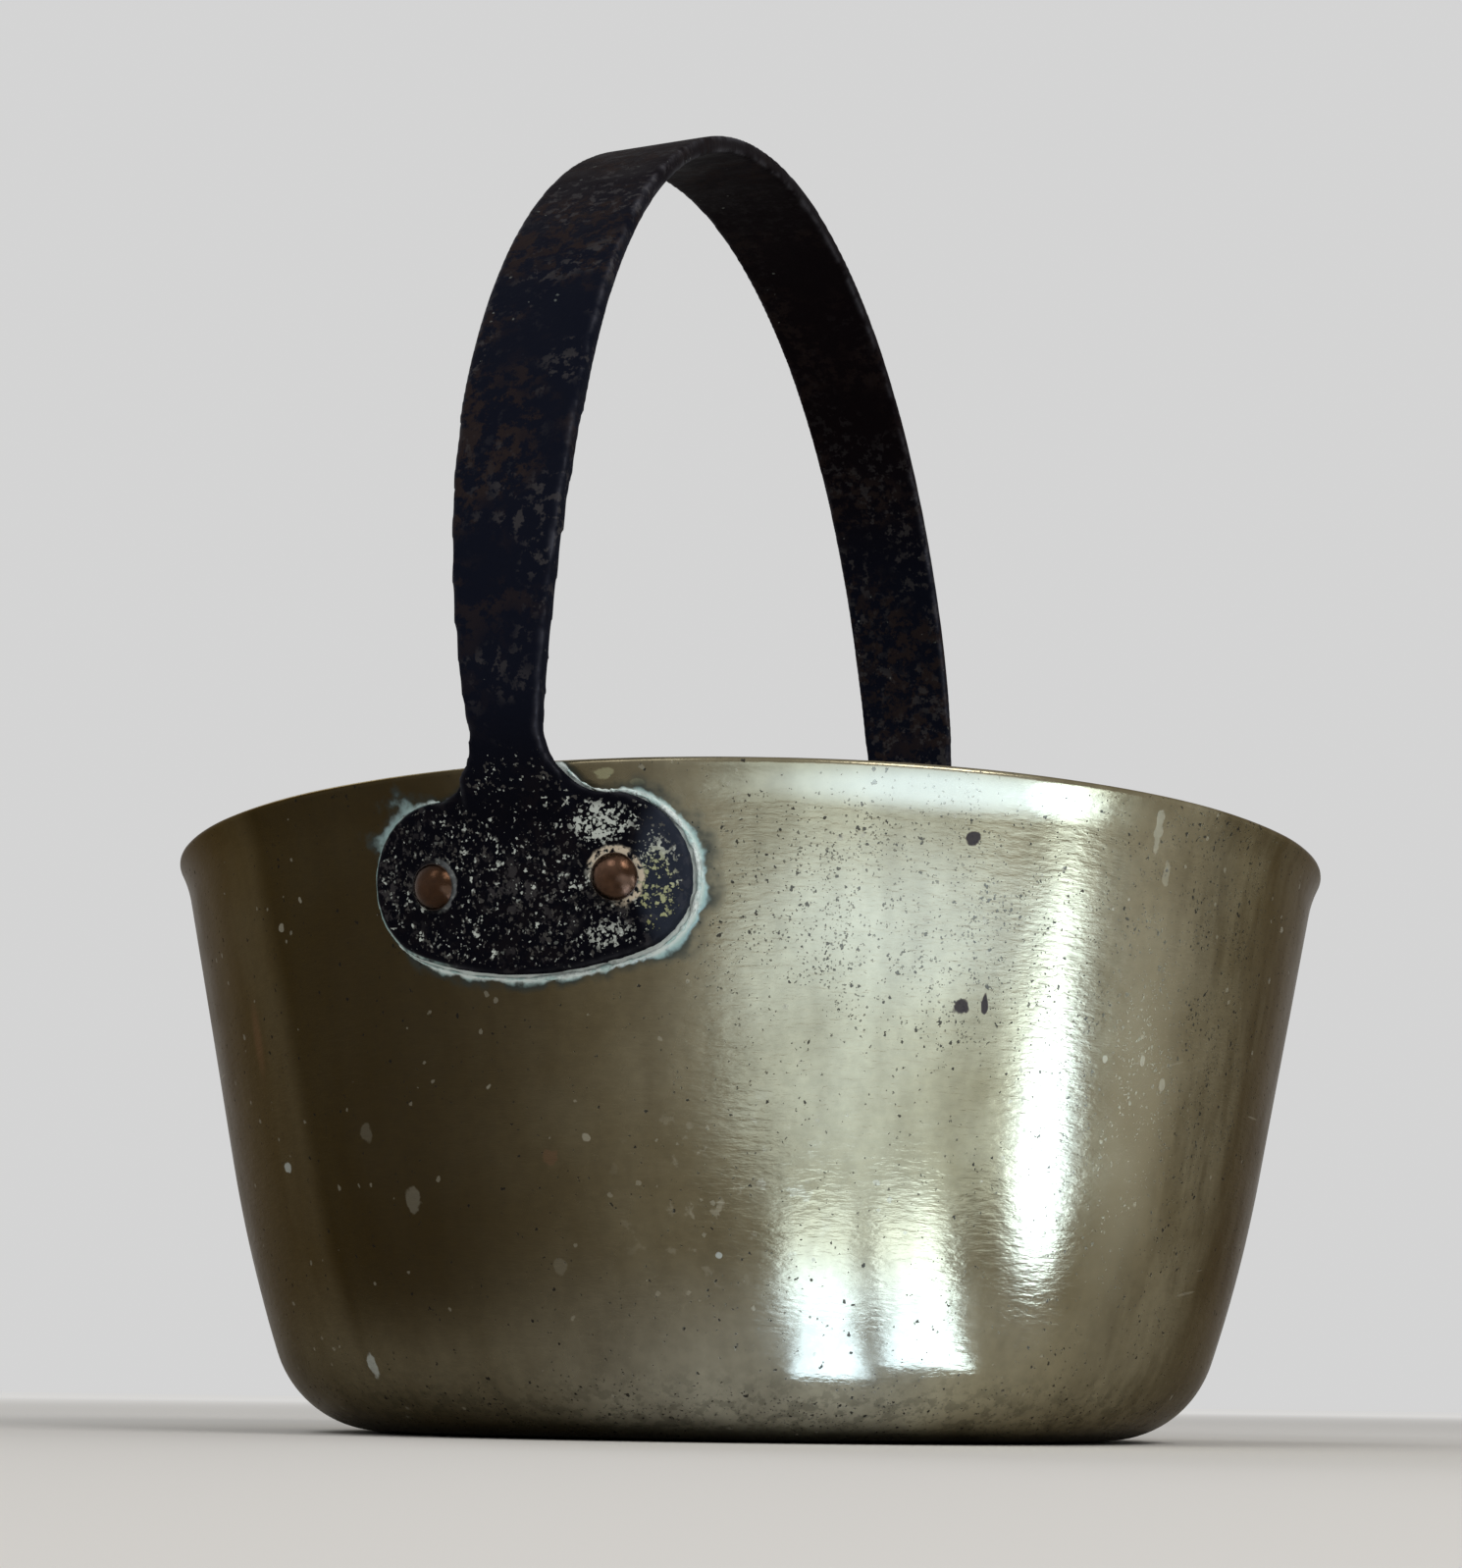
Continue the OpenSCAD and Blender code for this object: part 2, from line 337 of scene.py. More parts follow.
brassLook = {
    "olive": (0.235, 0.200, 0.118),
    "khaki": (0.425, 0.392, 0.272),
    # polish: painted sheen, a paler colour standing in for bright reflections
    "polish": (0.585, 0.58, 0.485),
    # brown: tarnish in runs and patches, and also painted dark reflection over the left and far right
    "brown": (0.046, 0.029, 0.010),
    # umber: painted dark reflection, a tilted hard-edged dark band on the left of the front
    "paintedDarkBand": (0.022, 0.014, 0.004),
    "rusty": (0.150, 0.085, 0.050),
    "plum": (0.030, 0.026, 0.034),
    "pit": (0.020, 0.018, 0.016),
    "spot": (0.50, 0.48, 0.38),
    "bloom": (0.50, 0.72, 0.69),
    "chalk": (0.86, 0.96, 0.93),
    "haze": (0.25, 0.34, 0.36),
    "grime": (0.050, 0.052, 0.036),
    "lichen": (0.42, 0.42, 0.26),
    "tarnish": (0.030, 0.042, 0.040),
    "glance": (0.52, 0.48, 0.44),   # metal's colour at a glancing angle
    "roughness": {"clean": 0.165, "mottle": 0.06, "tarnish": 0.15, "pits": 0.3, "crust": 0.80},
    "relief": {"fine": 0.10, "crust": 2.0, "crustGrain": 5.0},
    "rippleDepth": 0.000042,
    "pitDepth": 0.00006,
    "meanRadius": 140.0,            # mm, for lengths along the unrolled wall
    "unevenScale": 330.0,
    "streakyScale": 170.0,
    # how far patterns are drawn out: runs down, ripples round, and slanting and level scratches
    "grain": {"drip": 0.12, "ring": 0.28, "slant": 0.07, "tilt": -0.55, "level": 0.05},
    # size (m), low and high edge, seed, detail, roughness
    "clouds": {
        "big": (0.11, 0.34, 0.68, 1.3, 3.0, 0.55),
        "mid": (0.016, 0.30, 0.74, 4.1, 3.0, 0.55),
        "fine": (0.0026, 0.25, 0.75, 7.7, 3.0, 0.55),
        "ripples": (0.0013, 0.30, 0.70, 2.9, 3.0, 0.6),
        "runs": (0.0065, 0.42, 0.62, 15.5, 3.0, 0.55),
        "patches": (0.018, 0.35, 0.75, 12.5, 3.0, 0.55),
        "splash": (0.0034, 0.48, 0.57, 31.0, 4.0, 0.65),
        "pitted": (0.009, 0.40, 0.64, 21.0, 3.0, 0.55),
        "scuffs": (0.0042, 0.60, 0.68, 37.0, 4.0, 0.6),
    },
    # size (m), spread, seed, raggedness, share of the cells that have one
    "dots": {
        "pits": (0.0015, 0.22, 3.0, 1.6),
        "smallPits": (0.0008, 0.26, 4.0, 1.6),
        "bigPits": (0.014, 0.045, 5.5, 0.4, 0.06),
        "spots": (0.0075, 0.12, 8.0, 0.5, 0.07),
        "flecks": (0.0022, 0.26, 18.0, 0.7, 0.05),
        "slantScratches": (0.0022, 0.16, 11.0, 0.2, 0.022),
        "levelScratches": (0.0018, 0.14, 13.0, 0.2, 0.022),
    },
    # where a mask starts and ends, and its values there if not 0 and 1
    "zones": {
        # in degrees right of the front
        # leftIn to rightOut set where the painted dark reflection lies
        "leftIn": (-106.65, -78.0),
        "leftOut": (-18.0, 40.0, 1.0, 0.0),
        "rightIn": (63.0, 87.0),
        "rightOut": (120.0, 165.0, 1.0, 0.0),
        "runs": (54.43, 71.62, 0.0, 0.30),
        "darkBandIn": (-33.0, -29.0),
        "darkBandOut": (-16.0, 14.0, 1.0, 0.0),
        "lowSheenLeft": (-28.65, 5.73, 0.70, 0.90),
        "lowSheenRight": (40.11, 57.30, 1.0, 0.55),
        "frontIn": (-11.46, 17.19, 0.0, 0.95),
        "frontOut": (31.51, 48.70, 1.0, 0.0),
        # in mm above the floor
        "low": (45.0, 8.0),
        "darkBandUp": (12.0, 34.0),
        "foot": (4.0, 1.0),
        "splash": (19.0, 5.0),
        "lowPits": (15.0, 6.0, 0.0, 0.6),
        "ripples": (75.0, 115.0, 1.0, 0.55),
        "belowPalm": (106.0, 100.0),
        "shoulder": (124.0, 134.0),
        # in mm right of the palm's middle, and outward from its edge
        "toRight": (16.0, 36.0),
        "toLeft": (-20.0, -34.0),
        "chalky": (2.0, 0.8),
        # in the level of a noise
        "crustWidth": (0.3, 0.7, 0.55, 1.35),
        "brokenHaze": (0.34, 0.60, 0.35, 1.0),
        "dirtyCrust": (0.55, 0.70, 0.0, 0.4),
    },
    # how strongly each layer shows
    "amounts": {
        "khakiMottle": 0.22, "left": 0.86, "right": 0.74, "lowSheenLift": 0.24, "patches": 0.36,
        "paintedDarkBand": 0.62, "dirt": 0.14, "splash": 0.38, "pits": 0.88, "smallPits": 0.7, "spots": 0.35,
        "flecks": 0.22, "scratches": 0.30, "scuffs": 0.35, "haze": 0.85, "shoulder": 0.75,
        "crust": 0.95, "dullHaze": 0.6,
    },
    # mm: the verdigris round a palm, wider to the right, below and at the left shoulder
    "crustWidth": {"least": 0.75, "right": 1.5, "below": 0.8, "left": 0.35, "shoulder": 4.2},
    "hazeWidth": {"least": 1.2, "right": 2.2, "perCrust": 1.6},
    "crustEdge": (0.45, 1.25),      # shares of the width over which the crust fades
    "ragged": 1.6,                  # mm, how far its edge wanders
    "palmReach": 60.0,              # mm to both sides of a palm's middle
    "pitShare": {"least": 0.06, "inAreas": 0.50, "evenly": 0.25, "small": 1.5},
    "footGrime": (0.25, 0.5),       # least, and what the mottle adds
    # degrees right of the front, height, half width, half height (mm), softness
    "pitAreas": [(33, 112, 52, 34, 0.7), (70, 100, 60, 90, 0.9)],
    "scuffArea": (17, 52, 32, 30, 0.9),
    # kind, then the same, with strength in place of softness
    "marks": [
        # The polish marks and the khaki mark after them are painted sheen: paler colour standing in for
        # bright reflections at the lip and on the right
        ("polish", 36.0, 139.5, 46.0, 6.5, 0.60),
        ("polish", 35.0, 112.0, 46.0, 26.0, 0.20),
        ("polish", 50.0, 62.0, 16.0, 60.0, 0.30),
        ("khaki", 60.0, 72.0, 20.0, 60.0, 0.68),
        ("plum", 39.0, 130.1, 1.9, 1.6, 0.92),
        ("plum", 39.2, 93.5, 2.2, 1.8, 0.92),
        ("plum", 41.4, 94.9, 0.8, 2.8, 0.92),
        ("spot", 58.2, 137.5, 1.5, 5.5, 0.22),
        ("spot", 60.0, 127.5, 1.0, 3.0, 0.20),
        ("spot", 55.4, 85.0, 0.9, 0.9, 0.40),
        ("spot", 60.4, 85.6, 0.8, 1.2, 0.35),
        ("spot", 63.8, 81.2, 1.2, 1.4, 0.30),
        ("spot", -15.4, 52.1, 3.0, 3.2, 0.16),
        ("spot", -20.8, 67.2, 2.3, 2.7, 0.10),
        ("spot", 1.0, 37.0, 1.8, 2.0, 0.10),
        ("chalk", -35.3, 61.3, 2.0, 1.4, 0.30),
        ("chalk", -26.6, 15.5, 2.4, 3.4, 0.30),
        ("chalk", 17.1, 39.4, 0.9, 0.8, 0.32),
        ("rusty", 0.7, 60.1, 2.4, 2.0, 0.45),
        ("rusty", -38.0, 92.0, 3.5, 12.0, 0.45),
        # This wide mark at the far left is partly a reddish tone and partly a painted lighter reflection
        ("rusty", -62.0, 50.0, 12.0, 40.0, 0.55),
        ("lichen", 7.4, 141.6, 2.6, 1.3, 0.55),
        ("lichen", 10.2, 139.6, 2.0, 0.9, 0.35),
    ],
    "darkBandHeight": 80.0,            # mm, where the painted dark band lies as its zone says
    "darkBandTilt": math.degrees(0.6 * mm),   # degrees for each mm of height
    "wideMark": 8.0,                # mm, from which a mark has a soft, even edge
    "wideEdge": 0.8, "markEdge": 0.25,
}


def placesOnPan(point):
    # Where a point lies on the pan, and the patterns that more than one layer uses
    x, y, z = splitPoint(point)
    angle = times(calc("ARCTAN2", x, times(y, -1.0)), 180 / math.pi)
    drip, ring, slant, tilt, level = (
        brassLook["grain"][name] for name in ("drip", "ring", "slant", "tilt", "level"))
    at = SimpleNamespace(
        point=point, angle=angle, height=times(z, 1000.0),
        around=times(angle, math.radians(brassLook["meanRadius"])),
        dripped=joinPoint(x, y, times(z, drip)),
        ringed=joinPoint(times(x, ring), times(y, ring), z),
        slant=joinPoint(times(x, slant), times(y, slant), plus(z, times(x, tilt))),
        level=joinPoint(times(x, level), times(y, level), z),
        uneven=noiseAt(point, brassLook["unevenScale"], 3.0),
        outside=attribute(point, "outerFace"),
    )
    at.low = zone(brassLook, "low", at.height)
    for name in ("big", "mid", "fine"):
        setattr(at, name, cloud(brassLook, name, point))
    return at


def markOnWall(at, degrees, height, halfWidth, halfHeight, soft, uneven):
    return useGroup(placedMark, **{
        "Around": at.around, "Height": at.height, "Uneven": uneven,
        "At Around": degrees * math.radians(brassLook["meanRadius"]), "At Height": height,
        "Half Width": halfWidth, "Half Height": halfHeight, "Soft": soft,
    })["Mask"]


def brownTarnish(at):
    # Painted dark reflection, laid in as brown, over the left of the front and the far right, with real
    # tarnish runs and patches elsewhere. Also a painted paler sheen low on the wall and a painted dark band
    # on the left.
    look, amount = brassLook, brassLook["amounts"]

    def part(name, place="angle"):
        return zone(look, name, getattr(at, place))

    left = times(part("leftIn"), part("leftOut"), amount["left"])
    right = times(part("rightIn"), part("rightOut"), amount["right"])
    brownAndPaintedDark = times(larger(left, right), at.outside)
    brownAndPaintedDark = over(brownAndPaintedDark, times(cloud(look, "runs", at.dripped), part("runs"), at.outside))
    # Painted sheen: less brown and a paler colour low on the wall, palest at the front
    brownAndPaintedDark = times(brownAndPaintedDark, minus(1.0, times(at.low, amount["lowSheenLift"])))
    brownAndPaintedDark = over(brownAndPaintedDark, times(cloud(look, "patches", at.dripped), amount["patches"]))
    paintedLowSheen = times(at.low, at.outside, part("lowSheenLeft"), part("lowSheenRight"))
    # Painted dark reflection: a tilted, hard-edged dark band on the left
    tilted = minus(at.angle, times(minus(look["darkBandHeight"], at.height), look["darkBandTilt"]))
    paintedDarkBand = times(zone(look, "darkBandIn", tilted), part("darkBandOut"), part("darkBandUp", "height"),
                  at.outside, amount["paintedDarkBand"])
    return brownAndPaintedDark, paintedLowSheen, times(part("frontIn"), part("frontOut")), paintedDarkBand


def grimeAtFoot(at):
    least, mottled = brassLook["footGrime"]
    footing = times(zone(brassLook, "foot", at.height), plus(times(at.mid, mottled), least))
    splash = times(zone(brassLook, "splash", at.height), cloud(brassLook, "splash", at.point))
    return larger(footing, times(splash, brassLook["amounts"]["splash"]))


def pitsInBrass(at):
    # Thick in one area of the front and near the foot, and sparse elsewhere
    look, share = brassLook, brassLook["pitShare"]
    areas = [markOnWall(at, *area, at.uneven) for area in look["pitAreas"]]
    thick = larger(*areas, zone(look, "lowPits", at.height))
    thick = plus(times(thick, share["inAreas"]), share["least"])
    thick = times(thick, plus(cloud(look, "pitted", at.point), share["evenly"]))
    small = dots(look, "smallPits", at.point, times(thick, share["small"]))
    return larger(dots(look, "pits", at.point, thick), dots(look, "bigPits", at.point),
                  times(small, look["amounts"]["smallPits"]))


def palmVerdigris(at):
    # A crust on the wall round each palm, a dark haze outside it, and the crust's own colour
    look, wide, hazy = brassLook, brassLook["crustWidth"], brassLook["hazeWidth"]
    field = useGroup(palmField, Point=at.point)
    edge, across, height = field["Edge"], field["Across"], field["Height"]
    nearPalm = times(at.outside, calc("LESS_THAN", calc("ABSOLUTE", across), look["palmReach"]))
    streaky = noiseAt(at.point, look["streakyScale"], 4.0)
    toRight, toLeft = zone(look, "toRight", across), zone(look, "toLeft", across)
    shoulder = times(toLeft, zone(look, "shoulder", height))
    below = times(zone(look, "belowPalm", height), times(minus(1.0, toRight), wide["below"]))
    width = plus(times(toRight, wide["right"]), wide["least"], below, times(toLeft, -wide["left"]),
                 times(shoulder, wide["shoulder"]))
    width = times(width, zone(look, "crustWidth", streaky))
    fringe = plus(edge, times(minus(at.uneven, 0.5), look["ragged"]))
    fade = (times(width, share) for share in look["crustEdge"])
    crust = times(remap(fringe, *fade, 1.0, 0.0), nearPalm)
    farOut = plus(times(width, hazy["perCrust"]), times(toRight, hazy["right"]), hazy["least"])
    haze = times(remap(edge, width, farOut, 1.0, 0.0), nearPalm, zone(look, "brokenHaze", streaky))
    pale = blendColour(zone(look, "chalky", edge), look["bloom"], look["chalk"])
    pale = painted(look, pale, (times(shoulder, look["amounts"]["shoulder"]), "haze"),
                   (zone(look, "dirtyCrust", at.uneven), "tarnish"))
    return crust, haze, pale


def makeBrass():
    material, point, put = newMaterial("agedBrass")
    look, amount, at = brassLook, brassLook["amounts"], placesOnPan(point)
    # The brown mask is painted dark reflection over the left and far right, with real tarnish runs and
    # patches
    brownAndPaintedDark, paintedLowSheen, front, paintedDarkBand = brownTarnish(at)
    pitted = pitsInBrass(at)
    spots = larger(times(dots(look, "spots", point), amount["spots"]),
                   times(dots(look, "flecks", point), amount["flecks"]))
    colour = blendColour(at.big, look["olive"], look["khaki"])
    colour = painted(look, colour, (times(at.mid, amount["khakiMottle"]), "khaki"))
    # Painted sheen: paler colour low on the wall, palest at the front
    colour = blendColour(paintedLowSheen, colour, blendColour(front, look["khaki"], look["polish"]))
    colour = painted(look, colour, (brownAndPaintedDark, "brown"), (paintedDarkBand, "paintedDarkBand"),
                     (times(at.fine, amount["dirt"]), "pit"), (grimeAtFoot(at), "grime"),
                     (times(pitted, amount["pits"]), "pit"), (spots, "spot"))

    dull = spots
    for kind, *place, strength in look["marks"]:
        wide = max(place[2:]) >= look["wideMark"]
        edge = (look["wideEdge"], 0.5) if wide else (look["markEdge"], at.uneven)
        stain = times(markOnWall(at, *place, *edge), strength, at.outside)
        colour = painted(look, colour, (stain, kind))
        if kind in ("spot", "chalk", "plum"):
            dull = larger(dull, stain)

    # Pale scratches are thin stretched specks in two directions
    scratched = larger(dots(look, "slantScratches", at.slant), dots(look, "levelScratches", at.level))
    scuffs = times(markOnWall(at, *look["scuffArea"], 0.5), cloud(look, "scuffs", point))
    crust, haze, pale = palmVerdigris(at)
    colour = painted(look, colour, (times(scratched, amount["scratches"]), "spot"),
                     (times(scuffs, amount["scuffs"]), "spot"), (times(haze, amount["haze"]), "tarnish"))
    feed(put["Base Color"], blendColour(times(crust, amount["crust"]), colour, pale))

    dull = larger(crust, dull, times(haze, amount["dullHaze"]))
    feed(put["Metallic"], calc("SUBTRACT", 1.0, dull, clamp=True))
    rough, relief = look["roughness"], look["relief"]
    metal = plus(times(at.mid, rough["mottle"]), rough["clean"], times(brownAndPaintedDark, rough["tarnish"]),
                 times(pitted, rough["pits"]))
    feed(put["Roughness"], blendValue(dull, metal, rough["crust"]))
    put["Specular Tint"].default_value = (*look["glance"], 1)
    ripples = times(cloud(look, "ripples", at.ringed), zone(look, "ripples", at.height))
    waves = bump(ripples, look["rippleDepth"])
    lumps = times(crust, plus(times(at.uneven, relief["crustGrain"]), relief["crust"]))
    surface = plus(minus(times(at.fine, relief["fine"]), pitted), lumps)
    feed(put["Normal"], bump(surface, look["pitDepth"], waves))
    return material


ironLook = {
    "black": (0.0056, 0.0068, 0.0130),
    "soot": (0.0034, 0.0034, 0.0058),
    "crown": (0.0062, 0.0030, 0.0024),
    "rust": (0.026, 0.018, 0.016),
    "grey": (0.045, 0.042, 0.044),
    # worn: rubbed edges, partly real wear and partly a painted edge highlight
    "worn": (0.20, 0.20, 0.23),
    # blue: a painted sheen, a reflection on the black palm's right end
    "paintedBlueSheen": (0.037, 0.046, 0.068),
    "dust": (0.060, 0.058, 0.055),
    "chalk": (0.60, 0.65, 0.60),
    "cream": (0.66, 0.57, 0.44),
    "lime": (0.44, 0.46, 0.17),
    "slate": (0.24, 0.26, 0.27),
    "bloom": brassLook["bloom"],
    "roughness": {"scale": 0.48, "rust": 0.20, "cloud": 0.12, "palm": 0.12, "salt": 0.9},
    "relief": {"grain": 0.8, "rust": 0.7, "salt": 1.6},
    "shine": 0.008,
    "grainDepth": 0.00007,
    "unevenScale": 420.0,
    "islandScale": 900.0,
    # size (m), low and high edge, seed, detail, roughness
    "clouds": {
        "rustZones": (0.036, 0.44, 0.58, 3.3, 3.0),
        "rustBroken": (0.0042, 0.47, 0.56, 6.6, 5.0, 0.7),
        "flakeZones": (0.030, 0.42, 0.56, 14.0, 3.0),
        "flakes": (0.0028, 0.53, 0.60, 15.0, 4.0, 0.65),
        "fleckZones": (0.030, 0.50, 0.66, 24.0, 3.0),
        "rubbedAndHighlit": (0.009, 0.38, 0.62, 8.8, 3.0),
        "saltZones": (0.011, 0.34, 0.6, 61.0, 3.0),
        "brightSalt": (0.0022, 0.50, 0.64, 77.0, 2.0),
        "ring": (0.0014, 0.36, 0.50, 71.0, 2.0),
        "lined": (0.005, 0.26, 0.46, 83.0, 3.0),
        "rough": (0.012, 0.35, 0.65, 41.0, 3.0),
        "grain": (0.0016, 0.2, 0.8, 51.0, 3.0, 0.7),
    },
    # size (m), spread, seed, raggedness
    "dots": {
        "flecks": (0.0014, 0.25, 2.0, 1.1),
        "salt": (0.0016, 0.34, 17.0, 1.3),
        "dust": (0.0009, 0.40, 19.0, 1.3),
    },
    # where a mask starts and ends, and its values there if not 0 and 1
    "zones": {
        # in mm above the floor
        "rustLow": (150.0, 200.0, 0.15, 1.0),
        "rustHigh": (285.0, 325.0, 1.0, 0.5),
        "flakeHigh": (285.0, 325.0, 0.75, 0.12),
        "aboveNeck": (130.0, 165.0),
        "crown": (265.0, 315.0, 0.0, 0.75),
        "onPalm": (148.0, 138.0),
        # in mm outward from the palm's edge, right of its middle or from a rivet's middle, except
        # for rightRingUp, which is across the tilted line where the right ring ends
        "inside": (-0.8, -2.8),
        "linedEdge": (-1.0, -0.45),
        "linedLeft": (-14.0, -26.0),
        "rightRing": (8.2, 7.4),
        "rightRingUp": (121.0, 128.0, 0.05, 1.0),
        "leftRing": (7.3, 6.8),
        "leftRingIn": (-22.0, -17.5, 0.05, 0.70),
    },
    # share of the cells with a fleck, and of the noise's patches and dots that make the salts
    "fleckShare": 0.14, "saltEvenly": 0.35, "saltDots": 0.9, "dustDots": 0.7, "leastSalt": 0.01,
    "brightLow": 0.7, "wornMetal": 0.7,
    "ringWander": 2.4, "otherWander": 2.0,    # mm, how far the rings' edges wander
    "ringTilt": 0.9,          # how much height counts beside the distance across, where the right ring ends
    "wearFall": 3.0,          # how fast the rubbed look and its painted edge highlight fall off from the sharpest edges
    "patchFade": (0.6, 1.15, 1.0, 0.0),
    # level of the noise that salt islands rise above, what the salt's share takes off it, softness
    "islandCut": (0.665, 0.19, 0.02),
    # mm right of the palm's middle and above the floor, half width, half height
    "patches": {
        "paintedBlueSheen": (33.0, 119.0, 7.0, 17.0),
        "rich": (19.4, 130.3, 7.6, 5.2),
        "below": (20.0, 106.5, 6.0, 3.4),
        "right": (31.0, 119.0, 4.6, 11.0),
        "lime": (31.0, 115.0, 4.8, 10.0),
    },
    # how strongly each layer shows
    "amounts": {
        "rust": 0.75, "flecks": 0.15, "rubbedAndHighlit": 0.60, "paintedBlueSheen": 0.6, "salt": 0.92, "lime": 0.6,
        "evenSalt": 0.27, "richSalt": 0.46, "lowSalt": 0.26, "bright": 0.9, "lined": 0.8,
    },
}


def scaleOnIron(point, height):
    # Brown and grey flaked patches on black scale, away from the palms, and pale rubbed edges, partly a
    # painted edge highlight
    def part(name):
        return cloud(ironLook, name, point)

    look, amount = ironLook, ironLook["amounts"]
    rusty = times(part("rustZones"), zone(look, "rustLow", height), zone(look, "rustHigh", height),
                  part("rustBroken"))
    flaky = times(part("flakeZones"), part("flakes"), zone(look, "flakeHigh", height))
    flecks = dots(look, "flecks", point, times(part("fleckZones"), look["fleckShare"]))
    rubbedAndHighlit = times(calc("POWER", attribute(point, "sharpEdges"), look["wearFall"]), part("rubbedAndHighlit"))
    colour = blendColour(zone(look, "aboveNeck", height), look["soot"], look["black"])
    colour = painted(look, colour, (zone(look, "crown", height), "crown"),
                     (times(rusty, amount["rust"]), "rust"), (flaky, "grey"),
                     (times(flecks, amount["flecks"]), "chalk"), (times(rubbedAndHighlit, amount["rubbedAndHighlit"]), "worn"))
    return colour, rusty, rubbedAndHighlit


def saltsOnPalm(point, field, patches, onPalm):
    # Pale salts, thickest above the right rivet, and limy to its right, with their colour
    look, amount = ironLook, ironLook["amounts"]
    rich, low = patches["rich"], larger(patches["below"], patches["right"])
    share = plus(larger(times(rich, amount["richSalt"]), times(low, amount["lowSalt"])), amount["evenSalt"])
    share = times(share, plus(cloud(look, "saltZones", point), look["saltEvenly"]), onPalm,
                  zone(look, "inside", field["Edge"]))
    islands = noiseAt(point, look["islandScale"], 2.5)
    level, gain, soft = look["islandCut"]
    cut = minus(level, times(share, gain))
    salted = larger(remap(islands, cut, plus(cut, soft)),
                    dots(look, "salt", point, times(share, look["saltDots"])),
                    times(dots(look, "dust", point, share), look["dustDots"]))
    salted = times(salted, calc("GREATER_THAN", share, look["leastSalt"]))
    bright = larger(cloud(look, "brightSalt", point), rich, times(low, look["brightLow"]))
    tone = blendColour(times(bright, amount["bright"]), look["dust"], look["chalk"])
    return salted, painted(look, tone, (times(patches["lime"], amount["lime"]), "lime"))


def crustOnPalm(point, field):
    # Crust round the two rivets' seats, and a line of verdigris at the palm's left edge
    look, across = ironLook, field["Across"]
    uneven = noiseAt(point, look["unevenScale"], 3.0)
    ring = times(zone(look, "rightRing", plus(field["Rivet Right"], times(uneven, look["ringWander"]))),
                 zone(look, "rightRingUp", plus(across, times(field["Height"], look["ringTilt"]))),
                 cloud(look, "ring", point))
    otherRing = times(zone(look, "leftRing", plus(field["Rivet Left"], times(uneven, look["otherWander"]))),
                      zone(look, "leftRingIn", across))
    lined = times(zone(look, "linedEdge", field["Edge"]), zone(look, "linedLeft", across),
                  cloud(look, "lined", point), look["amounts"]["lined"])
    return ring, otherRing, lined


def makeIron():
    material, point, put = newMaterial("blackIron")
    look, amount = ironLook, ironLook["amounts"]
    field = useGroup(palmField, Point=point)
    patches = {}
    for name, (across, height, halfWidth, halfHeight) in look["patches"].items():
        away = distance(calc("DIVIDE", minus(field["Across"], across), halfWidth),
                        calc("DIVIDE", minus(field["Height"], height), halfHeight))
        patches[name] = remap(away, *look["patchFade"])
    colour, rusty, rubbedAndHighlit = scaleOnIron(point, field["Height"])
    # Painted sheen: a blue-grey patch at the palm's right end stands in for a reflection
    colour = painted(look, colour, (times(patches["paintedBlueSheen"], amount["paintedBlueSheen"]), "paintedBlueSheen"))
    onPalm = zone(look, "onPalm", field["Height"])
    salted, tone = saltsOnPalm(point, field, patches, onPalm)
    ring, otherRing, lined = crustOnPalm(point, field)
    salted = larger(salted, times(larger(lined, ring, otherRing), onPalm))
    tone = painted(look, tone, (ring, "cream"), (otherRing, "slate"), (lined, "bloom"))
    feed(put["Base Color"], blendColour(times(salted, amount["salt"]), colour, tone))
    feed(put["Metallic"], times(rubbedAndHighlit, look["wornMetal"]))
    put["Specular IOR Level"].default_value = look["shine"]
    rough, relief = look["roughness"], look["relief"]
    scale = plus(times(rusty, rough["rust"]), rough["scale"], times(onPalm, rough["palm"]),
                 times(cloud(look, "rough", point), rough["cloud"]))
    feed(put["Roughness"], blendValue(salted, scale, rough["salt"]))
    surface = plus(times(cloud(look, "grain", point), relief["grain"]), times(rusty, relief["rust"]),
                   times(salted, relief["salt"]))
    feed(put["Normal"], bump(surface, look["grainDepth"]))
    return material


copperLook = {
    "bright": (0.140, 0.077, 0.050),
    "brown": (0.044, 0.022, 0.012),
    "dark": (0.022, 0.015, 0.012),
    "roughness": {"clean": 0.17, "fine": 0.12},
    "grainDepth": 0.00002,
    "clouds": {"patches": (0.009, 0.36, 0.66, 2.0, 2.0), "fine": (0.0011, 0.3, 0.7, 5.0)},
    "zones": {"brownerAndPaintedDark": (4.0, -4.0, 0.0, 0.80)},   # mm right of the palm's middle
    "amounts": {"fine": 0.35, "grime": 0.85, "dullGrime": 0.6},
}


def makeCopper():
    material, point, put = newMaterial("brownedCopper")
    look, amount = copperLook, copperLook["amounts"]
    patches, fine = cloud(look, "patches", point), cloud(look, "fine", point)
    grime = attribute(point, "seatGrime")
    # Browner, darker copper on the left rivets, partly a painted dark reflection
    brownerAndPaintedDark = zone(look, "brownerAndPaintedDark", useGroup(palmField, Point=point)["Across"])
    colour = blendColour(patches, look["brown"], look["bright"])
    feed(put["Base Color"], painted(look, colour, (brownerAndPaintedDark, "brown"), (times(fine, amount["fine"]), "dark"),
                                    (times(grime, amount["grime"]), "dark")))
    feed(put["Metallic"], minus(1.0, times(grime, amount["dullGrime"])))
    feed(put["Roughness"], plus(times(fine, look["roughness"]["fine"]), look["roughness"]["clean"]))
    feed(put["Normal"], bump(plus(fine, patches), look["grainDepth"]))
    return material


